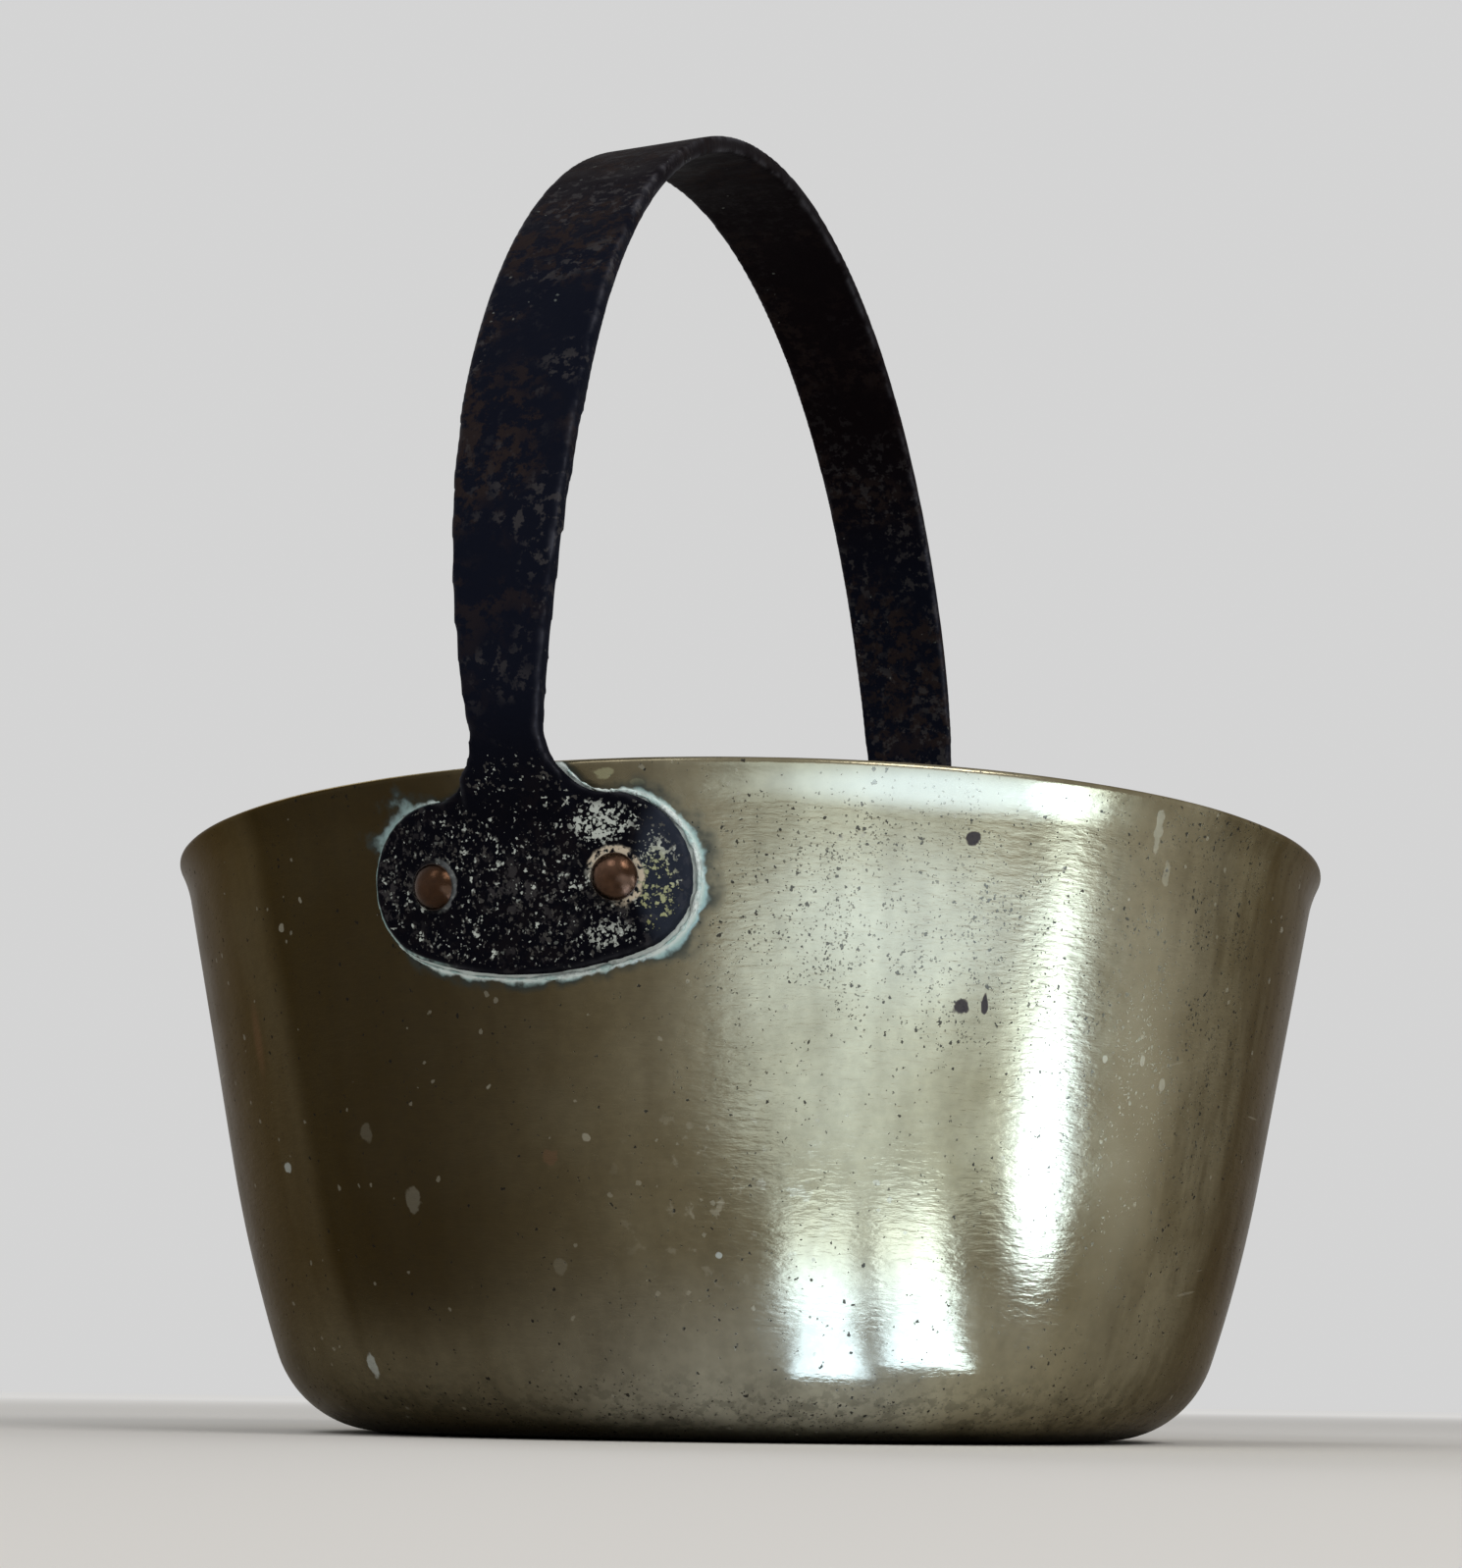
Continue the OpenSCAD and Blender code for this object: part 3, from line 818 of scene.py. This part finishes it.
verdigrisLook = {
    "bloom": brassLook["bloom"],
    "chalk": brassLook["chalk"],
    "tarnish": brassLook["tarnish"],
    "roughness": {"least": 0.80, "fine": 0.15},
    "dirt": 0.22,
    "grainDepth": 0.00015,
    "clouds": {"clumps": (0.005, 0.36, 0.60, 1.0), "fine": (0.0009, 0.45, 0.7, 3.0)},
}


def makeVerdigris():
    material, point, put = newMaterial("verdigris")
    look = verdigrisLook
    clumps, fine = cloud(look, "clumps", point), cloud(look, "fine", point)
    colour = blendColour(clumps, look["bloom"], look["chalk"])
    feed(put["Base Color"], painted(look, colour, (times(fine, look["dirt"]), "tarnish")))
    feed(put["Roughness"], plus(times(fine, look["roughness"]["fine"]), look["roughness"]["least"]))
    feed(put["Normal"], bump(plus(fine, clumps), look["grainDepth"]))
    return material


agedBrass, blackIron, brownedCopper, verdigris = makeBrass(), makeIron(), makeCopper(), makeVerdigris()
print("materials made")


# Turned forms: the pan and the rivets are one profile run round an axis

def makeTurnedForm():
    tree, given, put = newTree("turnedForm", "GeometryNodeTree", {
        "Profile": "Object", "Rows": 10, "Segments": 32, "Marked Rows": 5,
        "Dent Depth": 0.0001, "Dent Size": 0.02, "Seed": 1.0,
        "Place": "Vector", "Turn": "Vector", "Mark": "String", "Material": "Material",
    }, {"Geometry": "Geometry"})
    tree.is_modifier = True
    rows = given["Rows"]

    # A flat grid whose rows are the profile's points, wrapped round the axis
    grid = nodeWith("GeometryNodeMeshGrid", {
        "Size X": 1.0, "Size Y": 1.0, "Vertices X": plus(given["Segments"], 1.0), "Vertices Y": rows,
    })
    u, v, w = splitPoint(addNode(tree, "GeometryNodeInputPosition").outputs[0])
    angle = times(plus(u, 0.5), 2 * math.pi)
    row = calc("ROUND", times(plus(v, 0.5), minus(rows, 1.0)))
    outline = nodeWith("GeometryNodeObjectInfo", {"Object": given["Profile"]})
    spot = nodeWith("GeometryNodeSampleIndex", {
        "Geometry": outline.outputs["Geometry"], "Index": row,
        "Value": addNode(tree, "GeometryNodeInputPosition").outputs[0],
    }, data_type="FLOAT_VECTOR", domain="POINT")
    away, unused, up = splitPoint(spot.outputs[0])
    named = nodeWith("GeometryNodeStoreNamedAttribute", {
        "Geometry": grid.outputs["Mesh"], "Name": given["Mark"],
        "Value": calc("LESS_THAN", row, given["Marked Rows"]),
    }, data_type="FLOAT", domain="POINT")
    shaped = nodeWith("GeometryNodeSetPosition", {
        "Geometry": named.outputs[0],
        "Position": joinPoint(times(away, calc("COSINE", angle)), times(away, calc("SINE", angle)), up),
    })
    closed = nodeWith("GeometryNodeMergeByDistance", {"Geometry": shaped.outputs[0], "Distance": 0.000002})

    # Soft dents, always inward, so the form never grows
    place = addNode(tree, "GeometryNodeInputPosition").outputs[0]
    dents = noiseAt(place, calc("DIVIDE", 1.0, given["Dent Size"]), 1.5, seed=given["Seed"])
    push = nodeWith("ShaderNodeVectorMath", {
        0: addNode(tree, "GeometryNodeInputNormal").outputs[0],
        "Scale": times(dents, -1.0, given["Dent Depth"]),
    }, operation="SCALE")
    dented = nodeWith("GeometryNodeSetPosition", {"Geometry": closed.outputs[0], "Offset": push.outputs[0]})
    stood = nodeWith("GeometryNodeTransform", {
        "Geometry": dented.outputs[0], "Translation": given["Place"], "Rotation": given["Turn"],
    })
    finishTree(stood, given, put)
    return tree


def finishTree(last, given, put):
    for kind, more in (("SetShadeSmooth", {}), ("RealizeInstances", {}),
                       ("SetMaterial", {"Material": given["Material"]})):
        last = nodeWith("GeometryNode" + kind, {"Geometry": last.outputs[0], **more})
    feed(put["Geometry"], last.outputs[0])


turnedForm = makeTurnedForm()


@contextmanager
def editing(mesh):
    form = bmesh.new()
    form.from_mesh(mesh)
    yield form
    form.to_mesh(mesh)
    form.free()


def takeMesh(obj, name):
    # The object's shape with its modifier applied, as a plain mesh. The object itself goes.
    bpy.context.view_layer.update()
    deps = bpy.context.evaluated_depsgraph_get()
    mesh = bpy.data.meshes.new_from_object(obj.evaluated_get(deps), depsgraph=deps)
    mesh.name = name
    obj.modifiers.clear()
    bpy.data.objects.remove(obj)
    return mesh


def growPiece(name, tree, material, values):
    # Runs a node tree on an empty object and keeps the result as a plain mesh
    seed = newObject(name + "Seed", bpy.data.meshes.new(name + "Seed"))
    modifier = seed.modifiers.new("grow", "NODES")
    modifier.node_group = tree
    for item in tree.interface.items_tree:
        if item.item_type == "SOCKET" and item.in_out == "INPUT" and item.name in values:
            value = values[item.name]
            modifier[item.identifier] = tuple(value) if isinstance(value, Vector) else value
    mesh = takeMesh(seed, name)
    with editing(mesh) as form:
        bmesh.ops.remove_doubles(form, verts=form.verts, dist=1e-6)
        bmesh.ops.recalc_face_normals(form, faces=form.faces)
        if form.calc_volume(signed=True) < 0:
            bmesh.ops.reverse_faces(form, faces=form.faces)
    return dressed(name, mesh, material)


def dressed(name, mesh, material):
    mesh.materials.clear()
    mesh.materials.append(material)
    mesh.polygons.foreach_set("material_index", [0] * len(mesh.polygons))
    mesh.polygons.foreach_set("use_smooth", [True] * len(mesh.polygons))
    mesh.update()
    return newObject(name, mesh)


def outlineObject(name, points, edges=()):
    mesh = bpy.data.meshes.new(name)
    mesh.from_pydata([tuple(v * mm for v in p) for p in points], edges, [])
    return newObject(name, mesh)


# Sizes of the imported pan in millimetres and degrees
pan = {
    "rim": 152.5, "height": 145.0, "wall": 2.6, "lean": 12.3,
    "bellyTop": 66.0, "bellyRadius": 360.0, "cornerRadius": 28.0,
    "flareHeight": 9.0, "flareRadius": 34.0,
    "baseRings": (0.0, 12, 26, 40, 54, 66, 76, 84, 90),   # radii of the flat base's rows
    "cornerSteps": 21, "bellySteps": 12, "wallSteps": 14, "flareSteps": 12, "lipSteps": 9,
    "segments": 400,
    "dentDepth": 0.00030, "dentSize": 0.042, "dentSeed": 4.0,   # dents in metres
}


def aim(degrees):
    return Vector((math.cos(math.radians(degrees)), math.sin(math.radians(degrees))))


def arc(centre, radius, start, end, steps, first=1):
    return [centre + radius * aim(start + (end - start) * i / steps) for i in range(first, steps + 1)]


def workOutPan():
    # Mid wall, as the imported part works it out. Points are (radius, height) in millimetres.
    half = pan["wall"] / 2
    wallOut = aim(-pan["lean"])
    lipMid = Vector((pan["rim"] - half, pan["height"] - half))
    lipLean = math.degrees(math.asin(-wallOut[1] + pan["flareHeight"] / pan["flareRadius"]))
    inward = pan["flareRadius"] * (wallOut[0] - aim(-lipLean)[0])
    flareStart = lipMid - Vector((inward, pan["flareHeight"]))
    slope = math.tan(math.radians(pan["lean"]))
    bellyStart = Vector((flareStart[0] - (flareStart[1] - pan["bellyTop"]) * slope, pan["bellyTop"]))
    bellyCentre = bellyStart - pan["bellyRadius"] * wallOut
    cornerZ = half + pan["cornerRadius"]
    reach = pan["bellyRadius"] - pan["cornerRadius"]
    fall = bellyCentre[1] - cornerZ
    return {
        "half": half, "wallOut": wallOut, "lipMid": lipMid, "lipLean": lipLean, "slope": slope,
        "flareStart": flareStart, "flareCentre": flareStart + pan["flareRadius"] * wallOut,
        "bellyCentre": bellyCentre, "cornerLean": math.degrees(math.asin(fall / reach)),
        "cornerCentre": Vector((bellyCentre[0] + math.sqrt(reach * reach - fall * fall), cornerZ)),
    }


shape = workOutPan()


def wallOutline(grow):
    # Points from the axis to the lip, moved outward from mid wall by grow
    lean, cornerLean, steps = -pan["lean"], -shape["cornerLean"], pan["wallSteps"]
    points = [Vector((r, shape["half"] - grow)) for r in pan["baseRings"]]
    points += arc(shape["cornerCentre"], pan["cornerRadius"] + grow, -90, cornerLean, pan["cornerSteps"], 0)
    points += arc(shape["bellyCentre"], pan["bellyRadius"] + grow, cornerLean, lean, pan["bellySteps"])
    foot, top = points[-1], shape["flareStart"] + grow * shape["wallOut"]
    points += [foot + (top - foot) * i / steps for i in range(1, steps + 1)]
    return points + arc(shape["flareCentre"], grow - pan["flareRadius"], lean, -shape["lipLean"],
                        pan["flareSteps"])


def makePan():
    half = shape["half"]
    outer, inner = wallOutline(half), wallOutline(-half)
    lip = arc(shape["lipMid"], half, -shape["lipLean"], 180 - shape["lipLean"], pan["lipSteps"])[:-1]
    outline = outer + lip + inner[::-1]
    profile = outlineObject("panProfile", [(r, 0, z) for r, z in outline])
    piece = growPiece("panBody", turnedForm, agedBrass, {
        "Profile": profile, "Rows": len(outline), "Segments": pan["segments"],
        "Marked Rows": len(outer) + 3, "Dent Depth": pan["dentDepth"],
        "Dent Size": pan["dentSize"], "Seed": pan["dentSeed"], "Mark": "outerFace", "Material": agedBrass,
    })
    bpy.data.objects.remove(profile)
    return piece


panBody = makePan()
print("pan:", len(panBody.data.polygons), "faces")

rivet = {
    "shank": 3.2, "headRadius": 5.4, "headHeight": 3.2, "innerRadius": 5.8, "innerHeight": 1.7,
    "outerSeat": 5.35, "innerSeat": -1.57, "apart": 42.0, "height": 120.0,
    "segments": 36, "domeSteps": 12,
    "dentDepth": 0.00030, "dentSize": 0.0045,   # metres
}


def domeOutline(radius, height, seat, way):
    ball = (radius * radius + height * height) / (2 * height)
    points = []
    for i in range(rivet["domeSteps"] + 1):
        r = radius * math.sin(math.pi / 2 * i / rivet["domeSteps"])
        points.append((r, 0, seat + way * (math.sqrt(ball * ball - r * r) - ball + height)))
    return points


def makeRivet(name, facing, side, seed):
    outline = domeOutline(rivet["innerRadius"], rivet["innerHeight"], rivet["innerSeat"], -1)
    outline += [(rivet["shank"], 0, rivet["innerSeat"]), (rivet["shank"], 0, rivet["outerSeat"])]
    marked = len(outline) + 2
    outline += domeOutline(rivet["headRadius"], rivet["headHeight"], rivet["outerSeat"], 1)[::-1]
    wallR = shape["flareStart"][0] - (shape["flareStart"][1] - rivet["height"]) * shape["slope"]
    turn = math.asin(rivet["apart"] / 2 / wallR) * side * (1 if facing == 0 else -1)
    around = math.radians(facing) + turn
    profile = outlineObject(name + "Profile", outline)
    piece = growPiece(name, turnedForm, brownedCopper, {
        "Profile": profile, "Rows": len(outline), "Segments": rivet["segments"],
        "Marked Rows": marked, "Dent Depth": rivet["dentDepth"], "Dent Size": rivet["dentSize"],
        "Seed": seed, "Mark": "seatGrime", "Material": brownedCopper,
        "Place": Vector((wallR * math.sin(around), -wallR * math.cos(around), rivet["height"])) * mm,
        "Turn": Vector((math.radians(90 + pan["lean"]), 0, around)),
    })
    bpy.data.objects.remove(profile)
    return piece


rivets = {
    "rivet_front_left": makeRivet("rivetFrontLeft", 0, -1, 1.0),
    "rivet_front_right": makeRivet("rivetFrontRight", 0, 1, 2.4),
    "rivet_back_left": makeRivet("rivetBackLeft", 180, -1, 5.1),
    "rivet_back_right": makeRivet("rivetBackRight", 180, 1, 7.9),
}
print("rivets:", len(rivets))

# Handle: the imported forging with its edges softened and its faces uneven, as hammered

forging = {
    "voxel": 0.00085,                          # metres
    "smoothing": 2,
    "unevenDepth": 0.14, "unevenSize": 24.0,   # mm
    "edgeDepth": 0.08, "edgeSize": 4.0,        # mm
    "edgeShift": (9, 3, 5),                    # keeps the two kinds of unevenness apart
    "sharpBend": 0.10, "wornBend": 0.16,       # bends that count as a sharp and a worn edge
}


def outwardBend(form):
    # How sharply the surface bends outward at each point, for wear and hammer marks
    bend = []
    for v in form.verts:
        total = Vector()
        for e in v.link_edges:
            total += e.other_vert(v).co - v.co
        bend.append(-total.dot(v.normal) / max(1, len(v.link_edges)) / forging["voxel"])
    for step in range(forging["smoothing"]):
        near = [sum(bend[e.other_vert(v).index] for e in v.link_edges) / max(1, len(v.link_edges))
                for v in form.verts]
        bend = [0.5 * a + 0.5 * b for a, b in zip(bend, near)]
    return bend


def hammered(form, bend):
    for v in form.verts:
        p = v.co / mm
        slow = noise.noise(p / forging["unevenSize"]) * 0.5 + 0.5
        quick = noise.noise(p / forging["edgeSize"] + Vector(forging["edgeShift"])) * 0.5 + 0.5
        sharp = min(1.0, max(0.0, bend[v.index] / forging["sharpBend"]))
        v.co -= v.normal * mm * (forging["unevenDepth"] * slow + forging["edgeDepth"] * quick * sharp)


def makeHandle():
    block = newObject("handleBlock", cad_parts["handle"].data.copy())
    with editing(block.data) as form:
        bmesh.ops.remove_doubles(form, verts=form.verts, dist=1e-6)
    remesh = block.modifiers.new("remesh", "REMESH")
    remesh.mode = "VOXEL"
    remesh.voxel_size = forging["voxel"]
    mesh = takeMesh(block, "handleForging")
    with editing(mesh) as form:
        for step in range(forging["smoothing"]):
            bmesh.ops.smooth_vert(form, verts=form.verts, factor=0.5,
                                  use_axis_x=True, use_axis_y=True, use_axis_z=True)
        form.normal_update()
        form.verts.ensure_lookup_table()
        bend = outwardBend(form)
        hammered(form, bend)
    # How sharply each edge bends outward, for rubbed wear and a painted edge highlight
    layer = mesh.attributes.new("sharpEdges", "FLOAT", "POINT")
    layer.data.foreach_set("value", [min(1.0, max(0.0, b / forging["wornBend"])) for b in bend])
    return dressed("handleForging", mesh, blackIron)


handleForging = makeHandle()
print("handle:", len(handleForging.data.polygons), "faces")

# Verdigris: a low uneven bead that creeps out of the gap round each palm

bead = {
    "thin": 0.22, "thick": 0.62,   # radius in mm, left and right
    "step": 0.0005, "lumpSize": 0.0032,        # metres
    "lumps": (0.32, 0.66, 0.15, 1.35),         # level of the noise, and the radius's share there
    "sides": 8,
    "halfLength": 0.030,           # metres over which it thickens to both sides
    "stand": 0.55,                 # how far outside the palm's edge it lies, mm
    "lift": 0.05,                  # how far its middle lies outside the wall, mm
    "belowLip": 1.5,               # how far it stops below the lip, mm
    "neckTurn": (211, 270),        # degrees of the hollow at the neck that it follows
    "neckSteps": 8, "endSteps": 24, "bellySteps": 8,
}


def makeCrustBead():
    tree, given, put = newTree("crustBead", "GeometryNodeTree", {
        "Path": "Object", "Thin": 0.0002, "Thick": 0.0006, "Step": 0.0005, "Lump Size": 0.003, "Sides": 8,
        "Facing": 1.0, "Seed": 0.0, "Material": "Material",
    }, {"Geometry": "Geometry"})
    tree.is_modifier = True
    path = nodeWith("GeometryNodeObjectInfo", {"Object": given["Path"]})
    line = nodeWith("GeometryNodeMeshToCurve", {"Mesh": path.outputs["Geometry"]})
    even = nodeWith("GeometryNodeResampleCurve", {"Curve": line.outputs[0], "Length": given["Step"]},
                    mode="LENGTH")
    place = addNode(tree, "GeometryNodeInputPosition").outputs[0]
    x, y, z = splitPoint(place)
    lumps = noiseAt(place, calc("DIVIDE", 1.0, given["Lump Size"]), 2.0, seed=given["Seed"])
    toRight = remap(times(x, given["Facing"]), -bead["halfLength"], bead["halfLength"])
    girth = times(blendValue(toRight, given["Thin"], given["Thick"]), remap(lumps, *bead["lumps"]))
    ring = nodeWith("GeometryNodeCurvePrimitiveCircle", {"Resolution": given["Sides"], "Radius": 1.0})
    tube = nodeWith("GeometryNodeCurveToMesh", {
        "Curve": even.outputs[0], "Profile Curve": ring.outputs[0], "Scale": girth, "Fill Caps": True,
    })
    finishTree(tube, given, put)
    return tree


def outerRadius(z):
    points = [p for p in wallOutline(shape["half"]) if p[0] > pan["baseRings"][-1]]
    for low, high in zip(points, points[1:]):
        if low[1] <= z <= high[1]:
            return low[0] + (high[0] - low[0]) * (z - low[1]) / (high[1] - low[1])
    return points[-1][0]


def palmOutline():
    # Right half of the palm's edge from the lip down to the middle, then mirrored
    out = bead["stand"]
    lean = -math.degrees(math.atan2(palm["bellyZ"] - palm["height"], palm["endX"]))
    half = arc(Vector((palm["filletX"], palm["filletZ"])), palm["filletRadius"] - out,
               *bead["neckTurn"], bead["neckSteps"], 0)
    half += arc(Vector((palm["endX"], palm["height"])), palm["endRadius"] + out,
                90, lean, bead["endSteps"], 0)
    half += arc(Vector((0, palm["bellyZ"])), palm["bellyRadius"] + out, lean, -90, bead["bellySteps"])
    return half + [Vector((-x, z)) for x, z in half[-2::-1]]


def makeVerdigrisRing(name, facing, seed):
    points = []
    for x, z in palmOutline():
        if z < pan["height"] - bead["belowLip"]:
            r = outerRadius(z) + bead["lift"]
            points.append((x * facing, -math.sqrt(r * r - x * x) * facing, z))
    path = outlineObject(name + "Path", points, [(i, i + 1) for i in range(len(points) - 1)])
    piece = growPiece(name, crustBead, verdigris, {
        "Path": path, "Thin": bead["thin"] * mm, "Thick": bead["thick"] * mm, "Step": bead["step"],
        "Lump Size": bead["lumpSize"], "Sides": bead["sides"], "Facing": float(facing),
        "Seed": seed, "Material": verdigris,
    })
    bpy.data.objects.remove(path)
    return piece


crustBead = makeCrustBead()
verdigrisRings = [makeVerdigrisRing("verdigrisFront", 1, 3.0), makeVerdigrisRing("verdigrisBack", -1, 8.0)]
print("verdigris:", [len(ring.data.polygons) for ring in verdigrisRings], "faces")

# Stage: floor, world and lamps

stage = {
    "floor": (0.80, 0.78, 0.745),
    "floorHalf": 8.0,         # metres
    "floorDrop": 0.0003,      # how far the floor lies under the pan's base
    "backdrop": 0.66,         # what the camera and the metal see
    "cove": (0.55, 3.2),      # metres over which the floor rises to it
    "fill": 0.36,             # what lights the object from all sides
    "lampSize": 0.80,
    "lamps": {
        # place, aim point, watts, colour
        "keyRight": ((1.30, -0.90, 1.30), (0.0, -0.1, 0.10), 13.0, (1.0, 0.98, 0.96)),
        "softFront": ((-0.30, -1.60, 1.60), (0.0, 0.0, 0.10), 6.0, (0.97, 0.98, 1.0)),
        "softBack": ((-1.50, 0.70, 1.60), (0.0, 0.0, 0.10), 6.0, (0.97, 0.98, 1.0)),
    },
    # Low strips that only the turned metal mirrors: middle, length, width, turn, glow, height
    "strips": {
        "stripRight": ((0.660, -0.151), 0.980, 0.084, -8.2, 7.8, 0.003),
        "sheenRight": ((0.560, -0.560), 1.120, 0.640, -44.0, 1.52, 0.001),
    },
    # Window panes, each a fan of three strips: near end, far end, width at both ends, glow
    "panes": {
        "paneLeft": ((0.062, -0.107), (0.117, -0.198), 0.016, 0.046, 3.4),
        "paneRight": ((0.089, -0.095), (0.162, -0.164), 0.024, 0.048, 4.8),
    },
    "paneSteps": (1.0, 1.6, 1.6),   # glow of a pane's strips, near to far
    "paneHeight": 0.003,
    "paneColour": (0.57, 0.75, 1.0),
    "stripColour": (0.60, 0.78, 1.0),
}


def makeLamp(name, length, width, watts, colour, outline="RECTANGLE"):
    light = bpy.data.lights.new(name, "AREA")
    light.shape = outline
    light.size, light.size_y = length, width
    light.energy = watts
    light.color = colour
    return newObject(name, light)


def layStrip(name, middle, length, width, turn, glow, height, colour, outline):
    # A strip on the floor that shines up and is seen only in polished metal
    lamp = makeLamp(name, length, width, glow * math.pi * length * width, colour, outline)
    lamp.location = (*middle, height)
    lamp.rotation_euler = (math.pi, 0, math.radians(turn))
    lamp.visible_camera = lamp.visible_diffuse = False


def layPane(name, near, far, narrow, wide, glow):
    reach = Vector(far) - Vector(near)
    turn = math.degrees(math.atan2(reach.y, reach.x))
    count = len(stage["paneSteps"])
    for step, share in enumerate(stage["paneSteps"]):
        along = (step + 0.5) / count
        layStrip(f"{name}{step}", Vector(near) + reach * along, reach.length / count,
                 narrow + (wide - narrow) * along, turn, glow * share, stage["paneHeight"],
                 stage["paneColour"], "RECTANGLE")


def makeSky():
    # The same pale grey for the camera and for mirrored and refracted views
    world = bpy.data.worlds.new("studio")
    bpy.context.scene.world = world
    world.use_nodes = True
    seen = addNode(world.node_tree, "ShaderNodeLightPath").outputs
    plain = larger(*(seen[f"Is {kind} Ray"] for kind in ("Camera", "Glossy", "Transmission")))
    sky = world.node_tree.nodes["Background"].inputs
    sky["Color"].default_value = (1, 1, 1, 1)
    feed(sky["Strength"], blendValue(plain, stage["fill"], stage["backdrop"]))


def makeFloor():
    material, point, put = newMaterial("plainFloor")
    put["Base Color"].default_value = (*stage["floor"], 1)
    put["Roughness"].default_value = 0.9
    put["Specular IOR Level"].default_value = 0.0
    put["Emission Strength"].default_value = 1.0
    # Far from the object the floor glows up to the backdrop's level, as a cove does
    x, y, z = splitPoint(point)
    rise = stage["backdrop"] - stage["fill"] * stage["floor"][1]
    glow = remap(distance(x, y), *stage["cove"], 0.0, rise)
    feed(put["Emission Color"], joinPoint(glow, glow, glow))
    half, low = stage["floorHalf"], -stage["floorDrop"]
    corners = [(-half, -half, low), (half, -half, low), (half, half, low), (-half, half, low)]
    mesh = bpy.data.meshes.new("floor")
    mesh.from_pydata(corners, [], [(0, 1, 2, 3)])
    mesh.materials.append(material)
    return newObject("floor", mesh)


def makeStage():
    makeSky()
    bpy.context.scene.view_settings.view_transform = "Standard"
    for name, (place, target, watts, colour) in stage["lamps"].items():
        lamp = makeLamp(name, stage["lampSize"], stage["lampSize"], watts, colour)
        lamp.location = place
        lamp.rotation_euler = (Vector(target) - Vector(place)).to_track_quat("-Z", "Y").to_euler()
    for name, strip in stage["strips"].items():
        layStrip(name, *strip, stage["stripColour"], "ELLIPSE")
    for name, pane in stage["panes"].items():
        layPane(name, *pane)
    return makeFloor()


floor = makeStage()
print("stage made")

for piece in [panBody, handleForging, *verdigrisRings, *rivets.values()]:
    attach(piece, "root")
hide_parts("pan")
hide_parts("handle")
for node, piece in rivets.items():
    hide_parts(node)
bpy.context.view_layer.update()
